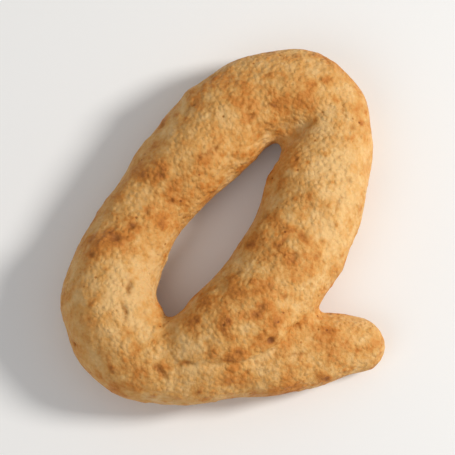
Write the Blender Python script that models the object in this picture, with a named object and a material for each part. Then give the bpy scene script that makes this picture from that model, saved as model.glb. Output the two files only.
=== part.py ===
"""A tarallo: one rolled strand of dough bent into a leaf-shaped loop, its two ends crossed and pressed, then baked.

The strand is modelled as it is shaped by hand. Its centre line runs through a few stations, each with the
strand's own radius there. The foot of the loop runs on past the crossing as a free stub, and the other end
comes down on top of it. The solid lies on the flat that it baked on, with +Y along the loop, +Z up, and the
origin below the middle of its box. Metres.
"""

import bpy
import numpy as np

MM = 0.001

# The strand's stations, from the free stub's end round the loop to the pressed end: x and y on the tray,
# how far the strand is lifted off the tray, and its radius. Millimetres.
STATIONS = np.array([
    (26.2, -6.2, 0.0, 4.1),
    (23.2, -8.4, 0.0, 4.9),
    (19.4, -12.0, 0.0, 5.6),
    (14.6, -15.9, 0.0, 6.1),
    (9.2, -20.2, 0.0, 6.3),
    (4.1, -24.1, 0.0, 6.5),
    (-1.5, -25.4, 0.0, 6.9),
    (-7.3, -22.4, 0.0, 7.3),
    (-10.0, -16.8, 0.0, 6.8),
    (-10.8, -10.8, 0.0, 6.2),
    (-11.3, -5.2, 0.0, 6.0),
    (-10.4, 0.6, 0.0, 6.5),
    (-9.4, 8.1, 0.0, 7.0),
    (-7.3, 15.6, 0.0, 6.9),
    (-2.7, 21.0, 0.0, 6.7),
    (3.0, 21.5, 0.0, 6.4),
    (6.5, 17.1, 0.0, 6.5),
    (8.4, 11.4, 0.0, 7.3),
    (9.9, 6.2, 0.1, 7.6),
    (10.9, 0.3, 0.5, 7.6),
    (11.0, -6.5, 1.3, 7.4),
    (9.8, -12.9, 2.5, 6.8),
    (7.2, -19.4, 3.1, 5.6),
]) * MM

# How the dough sits and joins
FLATNESS = 0.88                   # the baked strand's height over its width
TRAY_FLAT = 0.6 * MM              # how deep the tray has flattened the underside
# Where the strand fuses to itself, as x, y and height, how softly, and how far round it that lasts.
JOINS = np.array([
    (10.4, -17.8, 8.0, 3.8, 8.0),    # the pressed crossing
    (17.0, -9.3, 3.0, 3.0, 4.5),     # the notch between the strand and the stub
    (0.2, 15.6, 5.5, 4.0, 2.6),     # the tip of the hole, where the two sides of the loop touch
]) * MM

# Uneven skin
LUMP_HEIGHT = 0.22 * MM           # of each of the slow waves below
LUMP_WAVES = np.array([           # three wave numbers and a phase each, radians a millimetre and radians
    (0.43, 0.21, 0.30, 0.4),
    (-0.26, 0.49, 0.21, 2.1),
    (0.61, -0.37, 0.45, 4.4),
    (0.18, 0.66, -0.52, 1.3),
])
BLISTERS = 42
BLISTER_SEED = 11
BLISTER_HEIGHT = (0.12 * MM, 0.42 * MM)
BLISTER_RADIUS = (1.3 * MM, 2.4 * MM)

# Meshing
LINE_STEP = 0.5 * MM              # between points of the centre line
LINE_EVENING = 1.8 * MM           # over which the centre line and the radius are averaged
FACET = 1.46 * MM                 # the solid's facets
EVENINGS = 6                      # each moves the facets' corners to even them and back onto the dough
LEAST_SLOPE = 0.4                 # of the dough's field, for a step onto its surface

CRUST_COLOUR = (0.60, 0.32, 0.10, 1.0)
CRUST_ROUGHNESS = 0.62


def clear_scene():
    """Empties the scene that the script starts in."""
    for obj in list(bpy.data.objects):
        bpy.data.objects.remove(obj)


def curve_through(knots, steps=24):
    """A Catmull-Rom curve through the knots."""
    ends = (2 * knots[0] - knots[1], 2 * knots[-1] - knots[-2])
    padded = np.vstack([ends[0], knots, ends[1]])
    t = np.linspace(0, 1, steps, endpoint=False)[:, None]
    spans = []
    for a, b, c, d in zip(padded, padded[1:], padded[2:], padded[3:]):
        cubic = (2 * a - 5 * b + 4 * c - d) * t**2 + (3 * b - a - 3 * c + d) * t**3
        spans.append(0.5 * (2 * b + (c - a) * t + cubic))
    return np.vstack([*spans, knots[-1:]])


def averaged(values, radius):
    """Each row averaged with its neighbours by a bell curve of that radius in rows; the ends run on straight."""
    reach = int(3 * radius)
    before = 2 * values[0] - values[reach:0:-1]
    after = 2 * values[-1] - values[-2:-reach - 2:-1]
    padded = np.vstack([before, values, after])
    bell = np.exp(-0.5 * (np.arange(-reach, reach + 1) / radius) ** 2)
    bell /= bell.sum()
    return np.stack([np.convolve(column, bell, "valid") for column in padded.T], axis=1)


def strand():
    """The strand's centre line, its radius at each point, and the index of the point where the loop turns back.

    Heights are divided by FLATNESS, so that the strand is round here and flattened when it is scaled back.
    """
    x, y, lift, radius = STATIONS.T
    height = radius - TRAY_FLAT / FLATNESS + lift / FLATNESS
    fine = curve_through(np.stack([x, y, height, radius], axis=1))
    run = np.concatenate([[0], np.cumsum(np.linalg.norm(np.diff(fine[:, :3], axis=0), axis=1))])
    even = np.linspace(0, run[-1], int(run[-1] / LINE_STEP) + 1)
    line = np.stack([np.interp(even, run, column) for column in fine.T], axis=1)
    line = averaged(line, LINE_EVENING / LINE_STEP)
    return line[:, :3], line[:, 3], line[:, 1].argmax()


def nearest_on(points, line, radius):
    """Distance from each point to the tube along a line, and the direction away from the line."""
    distance = np.empty(len(points))
    direction = np.empty_like(points)
    for start in range(0, len(points), 4000):
        part = slice(start, start + 4000)
        offset = points[part, None] - line[None]
        reach = np.linalg.norm(offset, axis=2)
        best = (reach - radius).argmin(axis=1)
        row = np.arange(len(best))
        distance[part] = reach[row, best] - radius[best]
        direction[part] = offset[row, best] / np.maximum(reach[row, best], 1e-9)[:, None]
    return distance, direction


def dough_field(points, line, radius, top):
    """Signed distance to the dough and its slope: the nearer of the strand's two halves, with a smooth minimum
    running them together round each join."""
    foot, foot_way = nearest_on(points, line[:top + 1], radius[:top + 1])
    other, other_way = nearest_on(points, line[top:], radius[top:])
    fillet = np.full(len(points), 1e-6)
    for x, y, height, softness, reach in JOINS:
        offset = points - (x, y, height / FLATNESS)
        fillet += softness * np.exp(-0.5 * (offset**2).sum(axis=1) / reach**2)
    share = np.clip(0.5 + 0.5 * (other - foot) / fillet, 0, 1)
    distance = other * (1 - share) + foot * share - fillet * share * (1 - share)
    return distance, other_way * (1 - share)[:, None] + foot_way * share[:, None]


def without_crosswise_faces(value):
    """The grid's values with the outer nodes of each crosswise grid face taken into the dough, those of a face
    with two opposite nodes in it and two out of it, so that no two sheets of the net meet in an edge."""
    value = value.copy()
    for axis in (0, 1, 2) * 3:
        turned = np.moveaxis(value, axis, 0)
        nodes = [turned[:, :-1, :-1], turned[:, 1:, :-1], turned[:, 1:, 1:], turned[:, :-1, 1:]]
        inner = [node < 0 for node in nodes]
        crosswise = (inner[0] == inner[2]) & (inner[1] == inner[3]) & (inner[0] != inner[1])
        for node in nodes:
            node[crosswise] = np.minimum(node[crosswise], -0.02 * FACET)
    return value


def crossings(value, axis):
    """The grid's edges along one axis that the surface crosses: where each starts, how far along it the
    crossing is, and whether the edge leaves the dough there."""
    ahead = np.roll(value, -1, axis=axis)
    crossed = (value < 0) != (ahead < 0)
    last = [slice(None)] * 3
    last[axis] = -1
    crossed[tuple(last)] = False
    start = np.argwhere(crossed)
    share = value[crossed] / (value[crossed] - ahead[crossed])
    return start, share, value[crossed] < 0


def net_over(value):
    """The net of quads over a grid's zero surface, one corner to each cell that it passes through, at the mean
    of the crossings on the cell's edges. Corners are in cells from the grid's first node."""
    cells = tuple(count - 1 for count in value.shape)
    total, middle = np.zeros(cells), np.zeros((*cells, 3))
    around = []
    for axis in range(3):
        start, share, leaves = crossings(value, axis)
        point = start.astype(float)
        point[:, axis] += share
        before, after = np.eye(3, dtype=int)[[(axis + 1) % 3, (axis + 2) % 3]]
        ring = [start, start - before, start - before - after, start - after]
        for cell in ring:
            np.add.at(total, tuple(cell.T), 1)
            np.add.at(middle, tuple(cell.T), point)
        ring = np.stack(ring, axis=1)
        around.append(np.where(leaves[:, None, None], ring, ring[:, ::-1]))
    passed = total > 0
    index = np.cumsum(passed.ravel()).reshape(cells) - 1
    quads = index[tuple(np.moveaxis(np.concatenate(around), -1, 0))]
    return middle[passed] / total[passed][:, None], quads


def lumps(points):
    """Slow waves in the skin's height, a sum of sines."""
    phase = (points / MM) @ LUMP_WAVES[:, :3].T + LUMP_WAVES[:, 3]
    return LUMP_HEIGHT * np.sin(phase).sum(axis=1) * 0.5


def blisters(points, line, radius):
    """Bell-shaped blisters, set by a seeded draw along the strand and over its upper half."""
    draw = np.random.default_rng(BLISTER_SEED)
    at = draw.integers(4, len(line) - 4, BLISTERS)
    turn = draw.uniform(0.1, np.pi - 0.1, BLISTERS)
    height = draw.uniform(*BLISTER_HEIGHT, BLISTERS)
    width = draw.uniform(*BLISTER_RADIUS, BLISTERS)
    along = np.gradient(line, axis=0)[at]
    side = np.cross(along, (0.0, 0.0, 1.0))
    side /= np.linalg.norm(side, axis=1, keepdims=True)
    up = np.array((0.0, 0.0, 1.0))
    centre = line[at] + radius[at, None] * (np.cos(turn)[:, None] * side + np.sin(turn)[:, None] * up)
    rise = np.zeros(len(points))
    for middle, top, reach in zip(centre, height, width):
        rise += top * np.exp(-((points - middle) ** 2).sum(axis=1) / reach**2)
    return rise


def evened(points, quads):
    """Each point moved halfway to the middle of its neighbours, which evens the facets."""
    start, end = quads.ravel(), np.roll(quads, -1, axis=1).ravel()
    count = np.bincount(start, minlength=len(points)) + np.bincount(end, minlength=len(points))
    middle = np.stack([
        np.bincount(start, column[end], len(points)) + np.bincount(end, column[start], len(points))
        for column in points.T
    ], axis=1) / count[:, None]
    return (points + middle) / 2


def baked_dough():
    """The tarallo's points and quads: a net over the dough's field with its lumps and blisters, flattened where
    it lay on the tray, and centred over the origin."""
    line, radius, top = strand()
    low = (line - radius[:, None]).min(axis=0) - 1.5 * FACET
    high = (line + radius[:, None]).max(axis=0) + 1.5 * FACET
    steps = [np.arange(start, stop, FACET) for start, stop in zip(low, high)]
    nodes = np.stack(np.meshgrid(*steps, indexing="ij"), axis=-1)
    value, _ = dough_field(nodes.reshape(-1, 3), line, radius, top)
    corners, quads = net_over(without_crosswise_faces(value.reshape(nodes.shape[:3])))
    points = low + corners * FACET
    for _ in range(EVENINGS):
        points = evened(points, quads)
        distance, slope = dough_field(points, line, radius, top)
        points -= (distance / np.maximum((slope**2).sum(axis=1), LEAST_SLOPE**2))[:, None] * slope
    slope /= np.maximum(np.linalg.norm(slope, axis=1, keepdims=True), LEAST_SLOPE)
    rise = lumps(points) + blisters(points, line, radius)
    points += rise[:, None] * slope
    points[:, 2] = np.maximum(points[:, 2] * FLATNESS, 0.0)
    points[:, :2] -= (points[:, :2].min(axis=0) + points[:, :2].max(axis=0)) / 2
    return points, quads


def crust():
    """The baked crust's plain material."""
    material = bpy.data.materials.new("crust")
    material.use_nodes = True
    shader = material.node_tree.nodes["Principled BSDF"]
    shader.inputs["Base Color"].default_value = CRUST_COLOUR
    shader.inputs["Roughness"].default_value = CRUST_ROUGHNESS
    shader.inputs["Metallic"].default_value = 0.0
    return material


def build_tarallo():
    """The tarallo's object, with its crust."""
    points, quads = baked_dough()
    mesh = bpy.data.meshes.new("tarallo")
    mesh.from_pydata(points.tolist(), [], quads.tolist())
    mesh.materials.append(crust())
    mesh.shade_smooth()
    tarallo = bpy.data.objects.new("tarallo", mesh)
    bpy.context.scene.collection.objects.link(tarallo)
    return tarallo


clear_scene()
build_tarallo()
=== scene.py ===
"""A baked tarallo on a pale floor: one rolled strand of dough bent into a leaf-shaped loop, its ends crossed.

The strand's centre line and radius give a distance field, in which the strand runs together with itself
where it was pressed. A net of quads is laid over the field's surface, refined, and moved in and out by the
crust's relief: slow lumps, blisters, the grooves where the dough is pressed together, wrinkles, pits and
cracks. The relief also leaves its browning, and the depth of its pits and cracks, which is painted as
shade, in point attributes, which the crust's material reads. Some placed browning patches are painted
light and shade.

Lengths in the classes are in millimetres. The mesh is in metres.
"""

import logging
import math
from dataclasses import dataclass, field
from enum import Enum
from itertools import product
from typing import Protocol

import bpy
import numpy as np
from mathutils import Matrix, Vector


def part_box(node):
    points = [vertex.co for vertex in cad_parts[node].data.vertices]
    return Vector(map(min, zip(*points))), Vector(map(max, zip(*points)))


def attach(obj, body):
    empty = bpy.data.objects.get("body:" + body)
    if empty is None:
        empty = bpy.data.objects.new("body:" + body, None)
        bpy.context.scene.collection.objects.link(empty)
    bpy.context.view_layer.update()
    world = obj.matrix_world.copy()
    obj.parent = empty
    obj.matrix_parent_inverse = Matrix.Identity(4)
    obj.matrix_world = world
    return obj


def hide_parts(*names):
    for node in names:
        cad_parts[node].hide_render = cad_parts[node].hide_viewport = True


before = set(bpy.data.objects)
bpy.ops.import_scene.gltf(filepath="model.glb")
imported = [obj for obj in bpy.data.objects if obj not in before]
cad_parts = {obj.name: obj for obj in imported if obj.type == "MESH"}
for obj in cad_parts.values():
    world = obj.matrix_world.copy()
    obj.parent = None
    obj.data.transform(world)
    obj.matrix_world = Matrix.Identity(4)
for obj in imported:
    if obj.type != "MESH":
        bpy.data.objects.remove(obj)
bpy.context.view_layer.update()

LOG = logging.getLogger("tarallo")
MM = 0.001      # in metres
CHUNK = 4000    # how many points are measured at a time
TINY = 1e-9     # keeps a division off zero
Array = np.ndarray
Pair = tuple[float, float]
Point = tuple[float, float, float]
Colour = tuple[float, float, float]
Rows = tuple[tuple[float, ...], ...]
Socket = bpy.types.NodeSocket


class Mark(Enum):
    """The point attributes that the crust's material reads, by the name that the mesh keeps them under."""

    BROWNED = "browned"
    # read by the crust as painted shade in the pits and cracks
    SUNK = "sunk"
    BASE = "base"


def smooth_step(values: Array, low: float, high: float) -> Array:
    """Eases from 0 at low to 1 at high: 3t² - 2t³ of how far each value is between them.

    Args:
        values: The values to ease.
        low: Where the result is still 0.
        high: Where the result is 1.

    Returns:
        The eased values, 0 to 1.
    """
    t = np.clip((values - low) / (high - low), 0.0, 1.0)
    return t * t * (3.0 - 2.0 * t)


def unit(vectors: Array, least: float = TINY) -> Array:
    """Rows scaled to length 1, or by 1 / least where they are shorter than that."""
    return vectors / np.maximum(np.linalg.norm(vectors, axis=-1, keepdims=True), least)


@dataclass(frozen=True)
class Noise:
    """Smooth random values in space.

    Attributes:
        spacing: Millimetres between lattice nodes in the coarsest layer.
        layers: How many layers are summed, each at half the spacing and half the height of the last.
        period: Nodes along a side of the lattice before it repeats.
        stagger: How many nodes each layer is moved off the last.
    """

    seed: int
    spacing: float
    layers: int = 1
    period: int = 32
    stagger: float = 7.3

    def at(self, points: Array) -> Array:
        """Noise at each point, about -1 to 1.

        In each layer the eight values round a point, drawn once on a lattice that repeats, are blended by
        3t² - 2t³ of how far the point is across its cell along each axis.

        Args:
            points: Rows of three coordinates, in millimetres.

        Returns:
            One value a row.
        """
        lattice = np.random.default_rng(self.seed).uniform(-1.0, 1.0, (self.period,) * 3)
        total = np.zeros(len(points))
        for layer in range(self.layers):
            scaled = points * (2.0**layer / self.spacing) + self.stagger * layer
            cell = np.floor(scaled).astype(int)
            share = smooth_step(scaled - cell, 0.0, 1.0)
            for corner in product((0, 1), repeat=3):
                node = (cell + corner) % self.period
                weight = np.where(corner, share, 1.0 - share).prod(axis=1)
                total += lattice[tuple(node.T)] * weight * 0.5**layer
        return total


@dataclass(frozen=True)
class Strand:
    """The rolled strand's centre line and radius, from the free stub round the loop to the pressed end.

    Attributes:
        stations: Rows of x and y on the tray, lift off the tray, and radius.
        flatness: The baked strand's height over its width. Heights are divided by it while the field is
            worked out, so that the strand is round there.
        tray_flat: How deep the tray has flattened the underside.
        step: Between points of the centre line.
        evening: Over which the centre line and the radius are averaged.
    """

    stations: Rows = (
        (26.2, -6.2, 0.0, 4.1), (23.2, -8.4, 0.0, 4.9), (19.4, -12.0, 0.0, 5.6), (14.6, -15.9, 0.0, 6.1),
        (9.2, -20.2, 0.0, 6.3), (4.1, -24.1, 0.0, 6.5), (-1.5, -25.4, 0.0, 6.9), (-7.3, -22.4, 0.0, 7.3),
        (-10.0, -16.8, 0.0, 6.8), (-10.8, -10.8, 0.0, 6.2), (-11.3, -5.2, 0.0, 6.0), (-10.4, 0.6, 0.0, 6.5),
        (-9.4, 8.1, 0.0, 7.0), (-7.3, 15.6, 0.0, 6.9), (-2.7, 21.0, 0.0, 6.7), (3.0, 21.5, 0.0, 6.4),
        (6.5, 17.1, 0.0, 6.5), (8.4, 11.4, 0.0, 7.3), (9.9, 6.2, 0.1, 7.6), (10.9, 0.3, 0.5, 7.6),
        (11.0, -6.5, 1.3, 7.4), (9.8, -12.9, 2.5, 6.8), (7.2, -19.4, 3.1, 5.6),
    )
    flatness: float = 0.88
    tray_flat: float = 0.6
    step: float = 0.5
    evening: float = 1.8

    def curve(self, knots: Array, steps: int = 24) -> Array:
        """A Catmull-Rom curve: each span is the cubic whose ends are two knots and whose slopes there are
        half the way between the knots on either side.

        Args:
            knots: Rows of coordinates that the curve passes through.
            steps: Points to a span.

        Returns:
            Rows along the curve.
        """
        padded = np.vstack([2 * knots[0] - knots[1], knots, 2 * knots[-1] - knots[-2]])
        a, b, c, d = (padded[k:k + len(knots) - 1, None] for k in range(4))
        t = np.linspace(0, 1, steps, endpoint=False)[None, :, None]
        cubic = (2 * a - 5 * b + 4 * c - d) * t**2 + (3 * b - a - 3 * c + d) * t**3
        spans = 0.5 * (2 * b + (c - a) * t + cubic)
        return np.vstack([spans.reshape(-1, knots.shape[1]), knots[-1:]])

    def averaged(self, rows: Array, reach: float) -> Array:
        """Each row averaged with its neighbours by a bell curve, with the ends carried on straight.

        Args:
            rows: Rows of values along the strand.
            reach: The bell's standard deviation, in rows.

        Returns:
            The averaged rows.
        """
        far = int(3 * reach)
        before = 2 * rows[0] - rows[far:0:-1]
        after = 2 * rows[-1] - rows[-2:-far - 2:-1]
        bell = np.exp(-0.5 * (np.arange(-far, far + 1) / reach) ** 2)
        padded = np.vstack([before, rows, after])
        return np.stack([np.convolve(column, bell / bell.sum(), "valid") for column in padded.T], axis=1)

    def line(self) -> tuple[Array, Array]:
        """The centre line at even steps, and its radius at each.

        Returns:
            Rows of three coordinates with heights divided by flatness, and one radius a row.
        """
        x, y, lift, radius = np.array(self.stations).T
        height = radius + (lift - self.tray_flat) / self.flatness
        fine = self.curve(np.stack([x, y, height, radius], axis=1))
        run = np.concatenate([[0], np.cumsum(np.linalg.norm(np.diff(fine[:, :3], axis=0), axis=1))])
        even = np.linspace(0, run[-1], int(run[-1] / self.step) + 1)
        rows = np.stack([np.interp(even, run, column) for column in fine.T], axis=1)
        rows = self.averaged(rows, self.evening / self.step)
        return rows[:, :3], rows[:, 3]


@dataclass(frozen=True)
class Join:
    """A place where the strand runs together with itself.

    Attributes:
        place: Its x, y and height off the tray.
        softness: How wide the fillet is.
        reach: How far round the place the fillet lasts.
    """

    place: Point
    softness: float
    reach: float


@dataclass
class DoughField:
    """The signed distance to the dough, from the two halves of the strand run together at the joins.

    Attributes:
        least_slope: The least slope that a point is moved by.
        least_fillet: The fillet away from every join.
    """

    strand: Strand = field(default_factory=Strand)
    joins: tuple[Join, ...] = (
        Join((10.4, -17.8, 8.0), 3.8, 8.0),    # the pressed crossing
        Join((17.0, -9.3, 3.0), 3.0, 4.5),    # the notch between the strand and the stub
        Join((0.2, 15.6, 5.5), 4.0, 2.6),     # the tip of the hole, where the two sides of the loop touch
    )
    least_slope: float = 0.4
    least_fillet: float = 1e-6

    def __post_init__(self) -> None:
        """Works out the centre line once, and the point where the loop turns back."""
        self.centre, self.radius = self.strand.line()
        self.turn = int(self.centre[:, 1].argmax())

    def nearest(self, points: Array, part: slice) -> tuple[Array, Array]:
        """The distance to the round tube along part of the centre line: the least, over the line's points, of
        the distance to the point less the radius there.

        Args:
            points: Rows of three coordinates.
            part: Which points of the centre line count.

        Returns:
            One distance a row, and the direction away from the line.
        """
        line, radius = self.centre[part], self.radius[part]
        distance, way = np.empty(len(points)), np.empty_like(points)
        for start in range(0, len(points), CHUNK):
            rows = slice(start, start + CHUNK)
            offset = points[rows, None] - line[None]
            away = np.linalg.norm(offset, axis=2)
            best = (away - radius).argmin(axis=1)
            pick = np.arange(len(best))
            distance[rows] = away[pick, best] - radius[best]
            way[rows] = offset[pick, best] / np.maximum(away[pick, best], TINY)[:, None]
        return distance, way

    def measure(self, points: Array) -> tuple[Array, Array]:
        """The distance to the dough and the field's slope.

        The nearer half of the strand counts. Round each join a smooth minimum takes its place: both distances
        weighed by how close they are to each other, less the fillet times the product of the weights.

        Args:
            points: Rows of three coordinates, heights divided by the strand's flatness.

        Returns:
            One distance a row, and one slope vector a row.
        """
        foot, foot_way = self.nearest(points, slice(0, self.turn + 1))
        over, over_way = self.nearest(points, slice(self.turn, None))
        fillet = np.full(len(points), self.least_fillet)
        for join in self.joins:
            x, y, height = join.place
            offset = points - (x, y, height / self.strand.flatness)
            fillet += join.softness * np.exp(-0.5 * (offset**2).sum(axis=1) / join.reach**2)
        share = np.clip(0.5 + 0.5 * (over - foot) / fillet, 0.0, 1.0)
        distance = over * (1 - share) + foot * share - fillet * share * (1 - share)
        return distance, over_way * (1 - share)[:, None] + foot_way * share[:, None]

    def drawn_on(self, points: Array) -> tuple[Array, Array]:
        """Points moved along the slope onto the dough's surface, by the distance over the slope's square.

        Args:
            points: Rows of three coordinates near the surface.

        Returns:
            The moved rows, and the outward direction at each.
        """
        distance, slope = self.measure(points)
        square = np.maximum((slope**2).sum(axis=1), self.least_slope**2)
        return points - (distance / square)[:, None] * slope, unit(slope, self.least_slope)


@dataclass
class Net:
    """A closed net of quads: its points and its faces."""

    points: Array
    quads: Array

    @classmethod
    def over(cls, dough: DoughField, cell: float, margin: float = 1.5, inner: float = 0.02) -> "Net":
        """Lays a net over the dough's surface, one point to each cell of a grid that the surface passes
        through.

        A grid edge whose ends differ in sign is crossed where the distance, taken as linear along it, is
        zero. A cell's point is the mean of its crossings, and the four cells round a crossed edge make a
        quad.

        Args:
            dough: The field.
            cell: The grid's spacing.
            margin: How many cells the grid runs on past the dough.
            inner: How deep a node lies that is taken into the dough, in cells.

        Returns:
            The net, faces outwards.
        """
        low = (dough.centre - dough.radius[:, None]).min(axis=0) - margin * cell
        high = (dough.centre + dough.radius[:, None]).max(axis=0) + margin * cell
        steps = [np.arange(start, stop, cell) for start, stop in zip(low, high)]
        nodes = np.stack(np.meshgrid(*steps, indexing="ij"), axis=-1)
        value, _ = dough.measure(nodes.reshape(-1, 3))
        value = cls.without_crosswise_faces(value.reshape(nodes.shape[:3]), -inner * cell)
        total, middle = np.zeros(value.shape), np.zeros((*value.shape, 3))
        rings = []
        for axis in range(3):
            ahead = np.roll(value, -1, axis=axis)
            crossed = (value < 0) != (ahead < 0)
            start = np.argwhere(crossed)
            point = start.astype(float)
            point[:, axis] += value[crossed] / (value[crossed] - ahead[crossed])
            one, other = np.eye(3, dtype=int)[[(axis + 1) % 3, (axis + 2) % 3]]
            ring = np.stack([start, start - one, start - one - other, start - other], axis=1)
            np.add.at(total, tuple(ring.reshape(-1, 3).T), 1)
            np.add.at(middle, tuple(ring.reshape(-1, 3).T), np.repeat(point, 4, axis=0))
            rings.append(np.where((value[crossed] < 0)[:, None, None], ring, ring[:, ::-1]))
        passed = total > 0
        index = np.cumsum(passed.ravel()).reshape(passed.shape) - 1
        quads = index[tuple(np.moveaxis(np.concatenate(rings), -1, 0))]
        return cls(low + middle[passed] / total[passed][:, None] * cell, quads)

    @staticmethod
    def without_crosswise_faces(value: Array, inner: float) -> Array:
        """Takes the outer nodes of each crosswise grid face, two opposite nodes in the dough and two out of
        it, into the dough, so that no two sheets of the net meet in an edge.

        Args:
            value: The field on the grid.
            inner: The value that such a node gets.

        Returns:
            The mended grid.
        """
        value = value.copy()
        for axis in (0, 1, 2) * 3:
            turned = np.moveaxis(value, axis, 0)
            nodes = [turned[:, :-1, :-1], turned[:, 1:, :-1], turned[:, 1:, 1:], turned[:, :-1, 1:]]
            inside = [node < 0 for node in nodes]
            crosswise = (inside[0] == inside[2]) & (inside[1] == inside[3]) & (inside[0] != inside[1])
            for node in nodes:
                node[crosswise] = np.minimum(node[crosswise], inner)
        return value

    def even(self) -> None:
        """Moves each point halfway to the mean of its neighbours along the net's edges."""
        start, end = self.quads.ravel(), np.roll(self.quads, -1, axis=1).ravel()
        size = len(self.points)
        count = np.bincount(start, minlength=size) + np.bincount(end, minlength=size)
        middle = [np.bincount(start, c[end], size) + np.bincount(end, c[start], size) for c in self.points.T]
        self.points = (self.points + np.stack(middle, axis=1) / count[:, None]) / 2

    def refine(self) -> None:
        """Splits each quad in four: a point at the middle of each edge, one for both its quads, and one at
        the mean of each quad's corners."""
        quads, size = self.quads, len(self.points)
        sides = np.stack([quads, np.roll(quads, -1, axis=1)], axis=-1).reshape(-1, 2)
        edges, side = np.unique(np.sort(sides, axis=1), axis=0, return_inverse=True)
        side = side.reshape(-1, 4) + size
        centre = np.arange(len(quads)) + size + len(edges)
        self.points = np.vstack([self.points] + [self.points[ends].mean(axis=1) for ends in (edges, quads)])
        parts = [np.stack([quads[:, k], side[:, k], centre, side[:, k - 1]], axis=1) for k in range(4)]
        self.quads = np.concatenate(parts)


@dataclass
class Skin:
    """The crust while it is being marked.

    Attributes:
        points: Rows of three coordinates on the smooth dough.
        way: The outward direction at each.
        dough: The field that they lie on.
        rise: How far the relief has raised each point.
        marks: The attributes, 0 to 1 a point.
        last: How many of its radii a bell is measured out to.
        facing: The least upward share of the outward direction on the upper skin.
    """

    points: Array
    way: Array
    dough: DoughField
    last: float = 3.0
    facing: float = 0.05

    def __post_init__(self) -> None:
        """Starts with no relief and no marks."""
        self.rise = np.zeros(len(self.points))
        self.marks = {mark: np.zeros(len(self.points)) for mark in Mark}

    def bells(
        self, places: Array, reach: Array, weight: Array, power: float = 2.0, most: bool = False
    ) -> Array:
        """Bells round the places: the weight times exp(-(distance / reach)^power), summed over the places.

        Each run of points is measured only to the places within a few of their radii of the run's own box.

        Args:
            places: Rows of three coordinates.
            reach: One radius a place.
            weight: One height a place.
            power: 2 for a bell, more for a dish with a flat bottom and steeper sides.
            most: Takes the greatest of the bells in place of their sum.

        Returns:
            One value a point.
        """
        total = np.empty(len(self.points))
        for start in range(0, len(self.points), CHUNK):
            rows = slice(start, start + CHUNK)
            run = self.points[rows]
            off_box = np.maximum(np.maximum(run.min(axis=0) - places, places - run.max(axis=0)), 0.0)
            near = np.linalg.norm(off_box, axis=1) < self.last * reach
            away = np.linalg.norm(run[:, None] - places[None, near], axis=2) / reach[near]
            bell = weight[near] * np.exp(-(away**power))
            total[rows] = bell.max(axis=1, initial=0.0) if most else bell.sum(axis=1)
        return total

    def from_above(self, places: Array) -> Array:
        """The points of the upper skin over places on the tray.

        Args:
            places: Rows that start with x and y.

        Returns:
            One row of three coordinates a place.
        """
        upper = self.points[self.way[:, 2] > self.facing]
        return upper[[np.hypot(upper[:, 0] - x, upper[:, 1] - y).argmin() for x, y, *_ in places]]


class Feature(Protocol):
    """One feature of the crust's relief."""

    def mark(self, skin: Skin) -> None:
        """Raises, sinks or colours the skin."""


@dataclass(frozen=True)
class Lumps:
    """The slow unevenness of hand-rolled dough: a sum of sine waves across space.

    Attributes:
        height: Of each wave.
        waves: Three wave numbers in radians a millimetre, and a phase.
    """

    height: float = 0.11
    waves: Rows = (
        (0.43, 0.21, 0.30, 0.4), (-0.26, 0.49, 0.21, 2.1), (0.61, -0.37, 0.45, 4.4),
        (0.18, 0.66, -0.52, 1.3),
    )

    def mark(self, skin: Skin) -> None:
        """Raises the skin by the waves."""
        waves = np.array(self.waves)
        skin.rise += self.height * np.sin(skin.points @ waves[:, :3].T + waves[:, 3]).sum(axis=1)


@dataclass(frozen=True)
class Blisters:
    """Broad blisters that the oven raised, drawn along the strand and over its upper half.

    Attributes:
        browning: How far the highest one's top is browned.
        spot: The browned spot's radius over the blister's.
        ends: Steps at either end of the strand that have none.
        side: How far above the strand's sides they stay, in radians.
    """

    count: int = 42
    seed: int = 11
    height: Pair = (0.12, 0.42)
    width: Pair = (1.3, 2.4)
    browning: float = 0.2
    spot: float = 0.8
    ends: int = 4
    side: float = 0.1

    def mark(self, skin: Skin) -> None:
        """Raises a bell at each drawn place, and browns the higher ones' tops.

        Args:
            skin: The crust.
        """
        line, radius = skin.dough.centre, skin.dough.radius
        draw = np.random.default_rng(self.seed)
        at = draw.integers(self.ends, len(line) - self.ends, self.count)
        turn = draw.uniform(self.side, np.pi - self.side, self.count)
        height = draw.uniform(*self.height, self.count)
        width = draw.uniform(*self.width, self.count)
        along = np.gradient(line, axis=0)[at]
        up = np.array((0.0, 0.0, 1.0))
        spoke = np.cos(turn)[:, None] * unit(np.cross(along, up)) + np.sin(turn)[:, None] * up
        places = line[at] + radius[at, None] * spoke
        skin.rise += skin.bells(places, width, height)
        share = (height - self.height[0]) / (self.height[1] - self.height[0])
        skin.marks[Mark.BROWNED] += skin.bells(places, self.spot * width, self.browning * share)


@dataclass(frozen=True)
class Bubbles:
    """The crust's fine blisters, drawn all over the skin. Some are toasted on top.

    Attributes:
        toasted: The share of them that is toasted.
        browning: The most that a toasted one's top is browned.
        least: The least of that, as a share of the most.
        spot: The toasted spot's radius over the blister's.
        power: How flat the spot's middle is.
    """

    count: int = 1500
    seed: int = 23
    height: Pair = (0.02, 0.1)
    width: Pair = (0.34, 0.8)
    toasted: float = 0.22
    browning: float = 0.28
    least: float = 0.2
    spot: float = 0.95
    power: float = 3.5

    def mark(self, skin: Skin) -> None:
        """Raises a small bell at each drawn point of the skin, and browns a spot on the toasted ones.

        Args:
            skin: The crust.
        """
        draw = np.random.default_rng(self.seed)
        places = skin.points[draw.integers(0, len(skin.points), self.count)]
        height = draw.uniform(*self.height, self.count)
        width = draw.uniform(*self.width, self.count)
        skin.rise += skin.bells(places, width, height)
        toasted = draw.uniform(0, 1, self.count) < self.toasted
        share = np.where(toasted, draw.uniform(self.least, 1, self.count), 0.0)
        skin.marks[Mark.BROWNED] += skin.bells(places, self.spot * width, self.browning * share, self.power)


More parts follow.
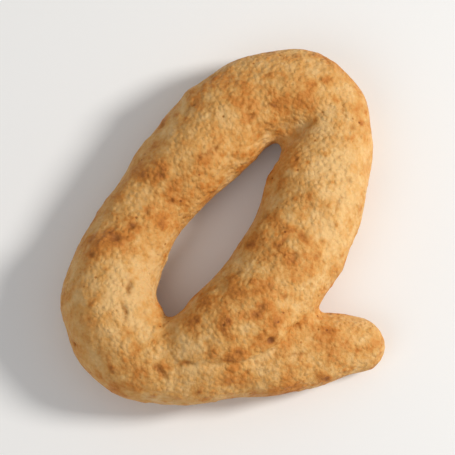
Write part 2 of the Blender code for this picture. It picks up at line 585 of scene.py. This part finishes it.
@dataclass(frozen=True)
class Wrinkles:
    """The crust's fine unevenness: two layered noises, the finer one stronger in patches.

    Attributes:
        patches: The noise that strengthens the finer one.
        strengthened: Where it starts to, and where it does so in full.
        least: How strong the finer one is elsewhere.
    """

    height: float = 0.055
    fine_height: float = 0.055
    broad: Noise = Noise(seed=5, spacing=2.6, layers=3)
    fine: Noise = Noise(seed=8, spacing=0.9, layers=2)
    patches: Noise = Noise(seed=9, spacing=6.0, layers=2)
    strengthened: Pair = (-0.5, 0.6)
    least: float = 0.35

    def mark(self, skin: Skin) -> None:
        """Moves the skin by the noises.

        Args:
            skin: The crust.
        """
        rough = smooth_step(self.patches.at(skin.points), *self.strengthened)
        skin.rise += self.height * self.broad.at(skin.points)
        skin.rise += self.fine_height * (self.least + rough) * self.fine.at(skin.points)


@dataclass(frozen=True)
class Pits:
    """Burst bubbles: small dishes with a slight rim, some where they are plain to see and the rest drawn.

    Attributes:
        placed: Rows of x, y, radius and depth.
        count: How many more are drawn.
        lean: The beta distribution's two numbers, which make most of them small.
        power: How flat a dish's bottom is.
        rim: The rim's height over the depth.
        rim_reach: The radii of the two bells whose difference is the rim, over the pit's own.
        rim_browning: How far a rim as high as the full depth is browned.
        full_depth: From which a pit's painted shade is as dark as it gets.
    """

    placed: Rows = (
        (15.5, -13.7, 0.5, 0.5), (12.6, -17.9, 0.45, 0.13), (9.7, -16.9, 0.4, 0.12),
        (12.0, -12.6, 0.45, 0.12), (11.5, 1.4, 0.7, 0.15), (12.0, -1.7, 0.65, 0.18),
        (11.6, -7.6, 0.6, 0.15), (12.3, -10.8, 0.7, 0.17), (13.6, -6.0, 0.45, 0.12),
        (6.1, -8.2, 0.65, 0.17), (8.3, 1.1, 0.5, 0.13), (9.9, 6.4, 0.45, 0.12), (-10.9, -10.4, 0.6, 0.24),
        (-11.7, -13.1, 0.6, 0.26), (-13.2, -12.4, 0.5, 0.2), (-10.5, -7.3, 0.5, 0.2),
        (-8.1, -3.8, 0.5, 0.18), (-5.2, 13.2, 0.5, 0.2), (-7.0, 6.1, 0.4, 0.16),
    )
    count: int = 100
    seed: int = 31
    radius: Pair = (0.28, 0.62)
    depth: Pair = (0.08, 0.3)
    lean: Pair = (1.2, 2.6)
    power: float = 3.0
    rim: float = 0.14
    rim_reach: Pair = (1.7, 1.15)
    rim_browning: float = 0.35
    full_depth: float = 0.4

    def mark(self, skin: Skin) -> None:
        """Sinks a dish at each pit, with a ring round it that stands up by a share of the depth.

        Args:
            skin: The crust.
        """
        draw = np.random.default_rng(self.seed)
        drawn = skin.points[draw.integers(0, len(skin.points), self.count)]
        places = np.vstack([skin.from_above(self.placed), drawn])
        small = draw.beta(*self.lean, (2, self.count))
        placed, limits = np.array(self.placed).T[2:], (self.radius, self.depth)
        radius, depth = (
            np.concatenate([known, low + share * (high - low)])
            for known, share, (low, high) in zip(placed, small, limits)
        )
        dish = skin.bells(places, radius, depth, self.power)
        outer, inner = (skin.bells(places, reach * radius, depth) for reach in self.rim_reach)
        skin.rise += self.rim * (outer - inner) - dish
        # the pit's depth, which the crust's material paints as shade
        skin.marks[Mark.SUNK] += dish / self.full_depth
        skin.marks[Mark.BROWNED] += self.rim_browning * (outer - inner) / self.full_depth


@dataclass(frozen=True)
class Cracks:
    """Short splits in the crust, each a wandering path over the upper skin.

    Attributes:
        paths: Rows of start x and y, end x and y, half width and depth.
        wander: How far a path strays sideways.
        window: Over how many of a path's steps the straying is averaged.
        ends: The share of a path at either end that is as shallow as the end.
        fade: How blunt the fading is, less for blunter.
        darkest: How dark the painted shade in the deepest crack is.
        full_depth: From which a crack is that dark.
    """

    paths: Rows = (
        (3.3, -26.2, 6.0, -26.7, 0.36, 0.36), (5.8, -24.2, 8.8, -22.9, 0.3, 0.18),
        (-6.7, -17.4, -5.5, -19.6, 0.34, 0.32), (-5.4, -20.8, -3.6, -22.9, 0.32, 0.28),
        (8.1, -19.2, 9.6, -21.0, 0.24, 0.13), (9.4, 0.4, 9.6, -2.4, 0.22, 0.16),
        (-8.4, 2.8, -7.2, 6.2, 0.2, 0.16), (13.4, 7.2, 12.8, 10.4, 0.2, 0.15),
        (-4.6, 15.4, -2.6, 16.9, 0.2, 0.16), (18.6, -14.4, 21.4, -12.1, 0.2, 0.16),
        (-14.0, 8.4, -13.5, 11.0, 0.2, 0.15), (7.4, 20.0, 4.9, 23.0, 0.2, 0.16),
    )
    wander: float = 0.3
    seed: int = 43
    steps: int = 26
    window: int = 5
    ends: float = 0.04
    fade: float = 0.6
    darkest: float = 0.9
    full_depth: float = 0.3

    def mark(self, skin: Skin) -> None:
        """Sinks the skin along each path: depth times a bell of the distance to it, fading to its ends.

        Args:
            skin: The crust.
        """
        draw = np.random.default_rng(self.seed)
        share = np.linspace(0, 1, self.steps)
        fade = np.sin(np.pi * np.clip(share, self.ends, 1.0 - self.ends)) ** self.fade
        window = np.ones(self.window) / self.window
        for x0, y0, x1, y1, width, depth in self.paths:
            noise = draw.normal(0, 1, self.steps + self.window - 1)
            stray = np.convolve(noise, window, "valid") * self.wander
            across = unit(np.array([-(y1 - y0), x1 - x0]))
            flat = np.array([x0, y0]) + share[:, None] * (x1 - x0, y1 - y0) + stray[:, None] * across
            cut = skin.bells(skin.from_above(flat), np.full(self.steps, width), fade, most=True)
            skin.rise -= depth * cut
            # the crack's depth, which the crust's material paints as shade
            skin.marks[Mark.SUNK] += self.darkest * cut * min(1.0, depth / self.full_depth)


@dataclass(frozen=True)
class Groove:
    """The groove that runs on from the tip of the hole, where the two sides of the loop are pressed together.

    Attributes:
        knots: Places along it: x and y on the tray, half width and depth.
    """

    knots: Rows = (
        (1.0, 13.4, 0.9, 0.3), (1.5, 15.4, 0.95, 0.6), (2.2, 17.2, 0.9, 0.5), (3.1, 19.2, 0.8, 0.22),
        (3.9, 20.8, 0.7, 0.0),
    )
    steps: int = 30

    def line(self) -> tuple[Array, Array, Array]:
        """The straight runs from knot to knot, at even shares of each.

        Returns:
            Rows of x and y, with one half width and one depth a row.
        """
        knots = np.array(self.knots)
        at = np.linspace(0, len(knots) - 1, self.steps)
        x, y, width, depth = (np.interp(at, np.arange(len(knots)), column) for column in knots.T)
        return np.stack([x, y], axis=1), width, depth

    def mark(self, skin: Skin) -> None:
        """Sinks the skin along the line by the depth there times a bell of the distance to the line."""
        spots, width, depth = self.line()
        skin.rise -= skin.bells(skin.from_above(spots), width, depth, most=True)


@dataclass(frozen=True)
class PressedEnd(Groove):
    """The groove round the end of the upper strand, where it is pressed onto the lower one, and its lip.

    Attributes:
        lip: How far the dough just inside the groove stands up, as a share of the groove's depth.
        lip_width: The lip's half width over the groove's.
        inside: How far inside the groove the lip is.
        middle: Where the upper strand's end has its middle.
    """

    knots: Rows = (
        (17.9, -9.9, 0.85, 0.4), (17.6, -12.2, 0.85, 0.8), (17.0, -14.6, 0.8, 0.75),
        (15.6, -17.2, 0.75, 0.62), (13.0, -19.9, 0.7, 0.5), (9.9, -22.2, 0.6, 0.36),
        (7.2, -23.9, 0.5, 0.18), (5.8, -24.4, 0.4, 0.0),
    )
    lip: float = 0.5
    lip_width: float = 1.6
    inside: float = 1.5
    middle: Pair = (9.6, -15.6)
    steps: int = 60

    def mark(self, skin: Skin) -> None:
        """Sinks the groove as any groove, then raises the lip: a wider bell of a share of the depth, along a
        line that lies the lip's distance inside the groove, towards the middle.

        Args:
            skin: The crust.
        """
        super().mark(skin)
        spots, width, depth = self.line()
        spots += self.inside * unit(np.array(self.middle) - spots)
        skin.rise += skin.bells(skin.from_above(spots), self.lip_width * width, self.lip * depth, most=True)


@dataclass(frozen=True)
class Browning:
    """How far the crust has browned: more on the ridges and in patches, less in the folds. Some patches paint
    light and shade.

    Attributes:
        patches: Rows of x, y, radius and how much darker (or paler, below zero) the crust is there. Partly
            real toasting and partly painted: the stub's row is painted shade, and the paler rows, on the
                flanks
            that face the key lamp, are painted light.
        base: The browning elsewhere.
        mottle: The broader noise, and mottled how much it counts.
        speckle: The finer noise, and speckled how much it counts.
        ridge: How much a millimetre of relief browns.
        highest: The relief past which it browns no more.
    """

    patches: Rows = (
        (9.6, -1.5, 3.9, 0.15), (7.6, -9.4, 4.2, 0.06), (6.0, 5.6, 3.4, 0.12), (10.4, -14.4, 3.8, 0.15),
        (6.1, -8.2, 1.4, 0.1), (12.0, -9.6, 1.8, 0.12), (6.2, -4.8, 1.6, 0.12), (11.9, -1.8, 1.4, 0.14),
        (11.3, 1.4, 1.2, 0.12), (13.8, -6.1, 1.5, 0.18), (11.6, -7.0, 1.4, 0.1), (10.0, 6.4, 1.2, 0.12),
        (-10.9, -10.0, 1.6, 0.34), (-11.9, -12.9, 1.7, 0.34), (-10.4, -6.9, 1.5, 0.2),
        (-8.2, -3.8, 1.6, 0.28), (-10.8, -3.0, 3.2, 0.28), (-8.9, 4.0, 4.6, 0.08), (13.8, -11.2, 2.4, 0.28),
        # the stub's row, (21.5, -10.2), is painted shade
        (21.5, -10.2, 4.6, 0.24), (-8.4, -7.2, 1.4, 0.18), (-5.2, 13.4, 1.8, 0.26), (4.5, -26.3, 1.5, 0.26),
        # the rows below zero lie on the flanks that face the key lamp: painted light
        (1.6, -27.2, 1.7, 0.14), (9.0, -20.0, 1.4, 0.1), (2.0, 24.0, 4.0, 0.1), (12.6, 12.2, 5.4, -0.3),
        (16.0, 3.6, 3.6, -0.22), (16.4, -4.6, 2.8, -0.12), (-5.4, -17.9, 4.2, -0.26),
        (-4.6, -22.8, 3.6, -0.16), (-6.0, -9.4, 2.4, -0.12), (16.8, -14.2, 3.0, -0.1),
    )
    base: float = 0.34
    mottle: Noise = Noise(seed=61, spacing=3.6, layers=4)
    speckle: Noise = Noise(seed=67, spacing=1.5, layers=3)
    mottled: float = 0.12
    speckled: float = 0.25
    ridge: float = 0.35
    highest: float = 0.4

    def mark(self, skin: Skin) -> None:
        """Adds the patches, two noises and the relief's own height to the browning, and keeps it 0 to 1.

        Args:
            skin: The crust.
        """
        _, _, reach, darker = np.array(self.patches).T
        # placed patches: toasting, with painted shade on the stub and painted light on the lit flanks
        patches = self.base + skin.bells(skin.from_above(self.patches), reach, darker)
        noises = self.mottled * self.mottle.at(skin.points) + self.speckled * self.speckle.at(skin.points)
        ridges = self.ridge * np.clip(skin.rise, -self.highest, self.highest)
        for part in (patches, noises, ridges):
            skin.marks[Mark.BROWNED] += part
        for mark, values in skin.marks.items():
            skin.marks[mark] = np.clip(values, 0.0, 1.0)


@dataclass(frozen=True)
class Grain:
    """A noise texture's cells a metre, its layers, and how strong the finer ones are."""

    scale: float
    detail: float
    roughness: float


@dataclass(frozen=True)
class Crust:
    """The baked crust's finish.

    Attributes:
        pale: Colour of the least browned dough, followed by gold, toasted and dark.
        stops: Where these four are on the ramp.
        painted_shade_colour: Painted shade colour in pits, cracks and pores; scorching, how much of it the
            darkest have.
        mottle: The browning's broader noise, and mottled how much it counts.
        speckle: The browning's finer noise, and speckled how much it counts.
        underside: How much further along the ramp the flat underside is.
        sunken: How much further along the ramp the darkest pits and cracks are: painted shade.
        speck_cells: The small specks' cells a metre, and speck_edge from where to where each fades.
        speck_places: The noise that lets specks in, and speck_limits from where to where it does.
        speck_dark: How dark a speck is: painted shade in the small pore that it dents.
        dull: The noise of the dull patches, and dull_limits what is smooth and what is dull in it.
        rough: Roughness of the smooth skin and of the dull patches.
        subsurface_colour: How far red, green and blue go in, as shares of the reach.
        dome_cells: The small domes' cells a metre, and dome_edge from where to where each falls.
        coarse: The bump's broader noise, and fine its finer one.
        bumps: Strength and metres of the broader noise, the domes, the specks and the finer noise.
    """

    name: str = "crust"
    pale: Colour = (0.79, 0.486, 0.194)
    gold: Colour = (0.70, 0.353, 0.096)
    toasted: Colour = (0.60, 0.223, 0.036)
    dark: Colour = (0.37, 0.118, 0.017)
    stops: tuple[float, ...] = (0.02, 0.38, 0.68, 1.0)
    painted_shade_colour: Colour = (0.14, 0.045, 0.011)
    painted_shade_share: float = 0.55
    mottle: Grain = Grain(420, 5, 0.62)
    mottled: float = 0.66
    speckle: Grain = Grain(1700, 3, 0.6)
    speckled: float = 0.64
    underside: float = 0.22
    sunken: float = 0.5
    speck_cells: float = 620
    speck_edge: Pair = (0.16, 0.05)
    speck_places: Grain = Grain(260, 2, 0.5)
    speck_limits: Pair = (0.5, 0.62)
    speck_dark: float = 0.7
    dull: Grain = Grain(300, 4, 0.6)
    dull_limits: Pair = (0.35, 0.65)
    rough: Pair = (0.46, 0.70)
    specular: float = 0.26
    subsurface: float = 0.08
    subsurface_colour: Colour = (1.0, 0.45, 0.18)
    subsurface_reach: float = 0.001
    dome_cells: float = 1250
    dome_edge: Pair = (0.05, 0.75)
    coarse: Grain = Grain(800, 6, 0.66)
    fine: Grain = Grain(3400, 3, 0.6)
    bumps: Rows = ((1.0, 0.00045), (0.8, 0.00018), (0.6, 0.0001), (0.5, 0.00008))

    def material(self) -> bpy.types.Material:
        """Builds the material's nodes.

        The browning attribute and two noises pick a place on the ramp from pale to dark. The sunk attribute
        and small specks move it on and darken it: painted shade in the pits, cracks and pores. Noises, small
        domes and the specks make the bump.

        Returns:
            The material.
        """
        material = bpy.data.materials.new(self.name)
        material.use_nodes = True
        tree = Nodes(material.node_tree)
        shader = material.node_tree.nodes["Principled BSDF"].inputs
        place = tree.node("ShaderNodeTexCoord", "Object", {})
        browned, sunk, base = (tree.attribute(mark) for mark in (Mark.BROWNED, Mark.SUNK, Mark.BASE))

        speck = tree.ease(tree.cells(place, self.speck_cells), *self.speck_edge)
        chosen = tree.ease(tree.noise(place, self.speck_places), *self.speck_limits)
        speck = tree.math("MULTIPLY", speck, chosen)
        # painted shade: pits, cracks and the specks' pores, darker the deeper they are
        dark = tree.math("MAXIMUM", sunk, tree.math("MULTIPLY", speck, self.speck_dark))
        tone = browned
        for part in (
            tree.spread(tree.noise(place, self.mottle), self.mottled),
            tree.spread(tree.noise(place, self.speckle), self.speckled),
            tree.math("MULTIPLY", base, self.underside),
            tree.math("MULTIPLY", dark, self.sunken),
        ):
            tone = tree.math("ADD", tone, part)
        ramp = tree.node("ShaderNodeValToRGB", "Color", {"Fac": tone})
        elements = ramp.node.color_ramp.elements
        while len(elements) < len(self.stops):
            elements.new(0.5)
        colours = (self.pale, self.gold, self.toasted, self.dark)
        for element, stop, colour in zip(elements, self.stops, colours):
            element.position = stop
            element.color = (*colour, 1.0)
        # mixes in the painted shade colour: pits, cracks and pores darker the deeper they are
        mixed = {"Factor": tree.math("MULTIPLY", dark, self.painted_shade_share), "A": ramp, "B": self.painted_shade_colour}
        tree.join(tree.node("ShaderNodeMix", "Result", mixed, data_type="RGBA"), shader["Base Color"])

        names = ("Value", "From Min", "From Max", "To Min", "To Max")
        limits = (tree.noise(place, self.dull), *self.dull_limits, *self.rough)
        rough = tree.node("ShaderNodeMapRange", "Result", dict(zip(names, limits)))
        tree.join(rough, shader["Roughness"])
        shader["Specular IOR Level"].default_value = self.specular
        shader["Subsurface Weight"].default_value = self.subsurface
        shader["Subsurface Radius"].default_value = self.subsurface_colour
        shader["Subsurface Scale"].default_value = self.subsurface_reach

        domes = tree.math("SUBTRACT", 1.0, tree.ease(tree.cells(place, self.dome_cells), *self.dome_edge))
        pores = tree.math("MULTIPLY", speck, -1.0)
        heights = (tree.noise(place, self.coarse), domes, pores, tree.noise(place, self.fine))
        bump = None
        for height, (strength, distance) in zip(heights, self.bumps):
            inputs = {"Strength": strength, "Distance": distance, "Height": height, "Normal": bump}
            bump = tree.node("ShaderNodeBump", "Normal", inputs)
        tree.join(bump, shader["Normal"])
        return material


@dataclass
class Nodes:
    """Short ways to lay shader nodes in a tree. A value is a socket to link from, or a number or colour."""

    tree: bpy.types.NodeTree

    def join(self, value: object, socket: Socket) -> None:
        """Links or sets a socket.

        Args:
            value: What it is linked from or set to. None leaves it as it is.
            socket: The input.
        """
        if isinstance(value, Socket):
            self.tree.links.new(value, socket)
        elif isinstance(value, tuple):
            socket.default_value = (*value, 1.0)
        elif value is not None:
            socket.default_value = value

    def node(self, kind: str, output: str, inputs: dict[object, object], **settings: object) -> Socket:
        """Lays a node.

        Args:
            kind: Its type.
            output: The name of the output that is wanted.
            inputs: The inputs' names or places, and their values.
            settings: The node's own settings.

        Returns:
            The output.
        """
        node = self.tree.nodes.new(kind)
        for name, setting in settings.items():
            setattr(node, name, setting)
        for name, value in inputs.items():
            self.join(value, node.inputs[name])
        return node.outputs[output]

    def attribute(self, mark: Mark) -> Socket:
        """A point attribute's value."""
        return self.node("ShaderNodeAttribute", "Fac", {}, attribute_name=mark.value)

    def noise(self, place: Socket, grain: Grain) -> Socket:
        """A noise texture's value, about 0.3 to 0.7."""
        inputs = {"Scale": grain.scale, "Detail": grain.detail, "Roughness": grain.roughness}
        return self.node("ShaderNodeTexNoise", "Fac", {"Vector": place, **inputs})

    def cells(self, place: Socket, scale: float) -> Socket:
        """The distance to the middle of the nearest of many scattered cells."""
        return self.node("ShaderNodeTexVoronoi", "Distance", {"Vector": place, "Scale": scale})

    def math(self, operation: str, first: object, second: object) -> Socket:
        """One sum, product or other operation on two values."""
        return self.node("ShaderNodeMath", "Value", {0: first, 1: second}, operation=operation)

    def spread(self, value: object, height: float) -> Socket:
        """A noise centred on zero and scaled: (value - 0.5) times height."""
        return self.math("MULTIPLY", self.math("SUBTRACT", value, 0.5), height)

    def ease(self, value: object, low: float, high: float) -> Socket:
        """Eases from 0 at low to 1 at high."""
        inputs = {"Value": value, "From Min": low, "From Max": high}
        return self.node("ShaderNodeMapRange", "Result", inputs, interpolation_type="SMOOTHSTEP")


@dataclass
class Tarallo:
    """The tarallo: its dough, its relief and its crust.

    Attributes:
        cell: The first net's spacing, which refining halves.
        evenings: How often the net is evened before it is refined, and how often after.
        edge: How round the edge of the flat underside is.
        below: How far under the tray the dough is all underside, as a share of the edge.
        dimple: How high the dents in the flat underside go.
        dented: From where to where their noise makes them.
        relief: What marks the crust, in order.
    """

    name: str = "tarallo"
    cell: float = 0.565
    evenings: tuple[int, int] = (5, 2)
    edge: float = 0.3
    below: float = 0.35
    dimple: float = 0.16
    dents: Noise = Noise(seed=71, spacing=2.2, layers=3)
    dented: Pair = (0.15, 0.9)
    dough: DoughField = field(default_factory=DoughField)
    relief: tuple[Feature, ...] = (
        Lumps(), Blisters(), Groove(), PressedEnd(), Bubbles(), Wrinkles(), Pits(), Cracks(), Browning()
    )
    crust: Crust = Crust()

    def evened(self, net: Net, times: int) -> Array:
        """Evens a net and draws it back onto the smooth dough.

        Args:
            net: The net, which is changed.
            times: How often.

        Returns:
            The outward direction at each of its points.
        """
        for _ in range(times):
            net.even()
            net.points, way = self.dough.drawn_on(net.points)
        return way

    def rested(self, points: Array) -> tuple[Array, Array]:
        """Lays the dough on its tray: heights scaled back by the flatness and what is below the tray
        pressed up to it, with a round edge and small dents where air was trapped.

        Args:
            points: Rows of three coordinates, heights divided by the flatness.

        Returns:
            The rows as baked, and how much each belongs to the flat underside, 0 to 1.
        """
        height = points[:, 2] * self.dough.strand.flatness
        under = 1.0 - smooth_step(height, -self.below * self.edge, self.edge)
        share = np.clip(0.5 + 0.5 * height / self.edge, 0.0, 1.0)
        dent = self.dimple * smooth_step(self.dents.at(points), *self.dented) * under
        rested = points.copy()
        rested[:, 2] = height * share + self.edge * share * (1.0 - share) + dent
        return rested, under

    def build(self) -> None:
        """Makes the tarallo's object, with its attributes and crust, in the place of the solid."""
        net = Net.over(self.dough, self.cell)
        self.evened(net, self.evenings[0])
        net.refine()
        way = self.evened(net, self.evenings[1])
        skin = Skin(net.points, way, self.dough)
        for feature in self.relief:
            feature.mark(skin)
        points, under = self.rested(net.points + skin.rise[:, None] * way)
        skin.marks[Mark.BASE] = under
        points *= MM
        low, high = (np.array(corner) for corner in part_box(self.name))
        shift = (low + high) / 2 - (points.min(axis=0) + points.max(axis=0)) / 2
        points[:, :2] += shift[:2]

        mesh = bpy.data.meshes.new(self.name)
        mesh.from_pydata(points.tolist(), [], net.quads.tolist())
        mesh.materials.append(self.crust.material())
        mesh.shade_smooth()
        for mark, values in skin.marks.items():
            layer = mesh.attributes.new(mark.value, "FLOAT", "POINT")
            layer.data.foreach_set("value", values.astype(np.float32))
        piece = bpy.data.objects.new("baked_tarallo", mesh)
        bpy.context.scene.collection.objects.link(piece)
        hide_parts(self.name)
        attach(piece, "root")
        LOG.info("%s: %d quads, %d points", piece.name, len(mesh.polygons), len(mesh.vertices))


@dataclass(frozen=True)
class Lamp:
    """A soft lamp.

    Attributes:
        toward: Where it stands as seen by the camera: right, up in the picture, and towards the camera.
        distance: Metres from the tarallo.
        size: Metres across.
        power: Watts.
    """

    name: str
    toward: Point
    distance: float
    size: float
    power: float
    colour: Colour = (1.0, 1.0, 1.0)


@dataclass
class Studio:
    """The pale floor, the soft light and the camera.

    Attributes:
        azimuth: The camera's, in degrees: 0 looks along +Y.
        elevation: The camera's, in degrees above the floor.
        distance: Metres from the camera to what it looks at.
        view_width: Metres that the picture is wide there.
        aim: Metres that the camera looks off the middle of the tarallo, right and up in the picture.
        floor_half: Metres from the floor's middle to its edge.
        sky: Strength of the light from all round.
    """

    azimuth: float = 33.0
    elevation: float = 78.0
    distance: float = 0.6
    view_width: float = 0.068
    aim: Pair = (-0.005, 0.003)
    floor_half: float = 3.0
    floor_colour: Colour = (0.91, 0.91, 0.91)
    sky: float = 0.36
    lamps: tuple[Lamp, ...] = (
        Lamp("key", (0.84, 0.26, 0.56), 0.55, 0.14, 2.6, (1.0, 0.97, 0.92)),
        Lamp("fill", (-0.45, -0.3, 0.84), 0.7, 0.5, 0.7),
    )

    def axes(self) -> tuple[Vector, Vector, Vector]:
        """Turns the camera's angles into directions.

        Returns:
            The picture's right, its up, and the way back to the camera.
        """
        a, e = math.radians(self.azimuth), math.radians(self.elevation)
        right = Vector((math.cos(a), math.sin(a), 0.0))
        back = Vector((math.sin(a) * math.cos(e), -math.cos(a) * math.cos(e), math.sin(e)))
        return right, back.cross(right), back

    def floor(self) -> None:
        """Lays a wide plain floor just under the tarallo."""
        mesh = bpy.data.meshes.new("floor")
        corners = self.floor_half * np.array([(-1, -1, 0), (1, -1, 0), (1, 1, 0), (-1, 1, 0)])
        mesh.from_pydata(corners.tolist(), [], [(0, 1, 2, 3)])
        material = bpy.data.materials.new("floor")
        material.use_nodes = True
        shader = material.node_tree.nodes["Principled BSDF"]
        shader.inputs["Base Color"].default_value = (*self.floor_colour, 1.0)
        shader.inputs["Roughness"].default_value = 0.9
        shader.inputs["Specular IOR Level"].default_value = 0.1
        mesh.materials.append(material)
        obj = bpy.data.objects.new("floor", mesh)
        bpy.context.scene.collection.objects.link(obj)

    def light(self, lamp: Lamp, target: Vector) -> None:
        """Hangs one lamp.

        Args:
            lamp: The lamp.
            target: What it is turned to.
        """
        right, up, back = self.axes()
        x, y, z = lamp.toward
        way = (x * right + y * up + z * back).normalized()
        data = bpy.data.lights.new(lamp.name, "AREA")
        data.shape = "DISK"
        data.size = lamp.size
        data.energy = lamp.power
        data.color = lamp.colour
        obj = bpy.data.objects.new(lamp.name, data)
        obj.location = target + way * lamp.distance
        obj.rotation_euler = way.to_track_quat("Z", "Y").to_euler()
        obj.visible_camera = False
        bpy.context.scene.collection.objects.link(obj)

    def camera(self, target: Vector) -> None:
        """Sets the camera, looking through a long lens.

        Args:
            target: What the aim is measured from.
        """
        right, up, back = self.axes()
        data = bpy.data.cameras.new("camera")
        data.sensor_width = 36.0
        data.lens = data.sensor_width * self.distance / self.view_width
        data.clip_start = 0.01
        data.clip_end = 20.0
        obj = bpy.data.objects.new("camera", data)
        aimed = target + right * self.aim[0] + up * self.aim[1]
        obj.location = aimed + back * self.distance
        obj.rotation_euler = back.to_track_quat("Z", "Y").to_euler()
        bpy.context.scene.collection.objects.link(obj)
        bpy.context.scene.camera = obj

    def world(self) -> None:
        """Even white light from all round."""
        world = bpy.data.worlds.new("studio")
        world.use_nodes = True
        background = world.node_tree.nodes["Background"]
        background.inputs["Color"].default_value = (1.0, 1.0, 1.0, 1.0)
        background.inputs["Strength"].default_value = self.sky
        bpy.context.scene.world = world

    def build(self) -> None:
        """Sets up the whole studio round the tarallo."""
        low, high = (Vector(corner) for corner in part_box("tarallo"))
        target = (low + high) / 2
        self.floor()
        for lamp in self.lamps:
            self.light(lamp, target)
        self.camera(target)
        self.world()
        view = bpy.context.scene.view_settings
        view.view_transform = "Standard"
        view.look = "None"
        LOG.info("studio: %d lamps", len(self.lamps))


def main() -> None:
    """Builds the tarallo and the studio."""
    logging.basicConfig(level=logging.INFO, format="%(name)s: %(message)s")
    Tarallo().build()
    Studio().build()


if __name__ == "__main__":
    main()
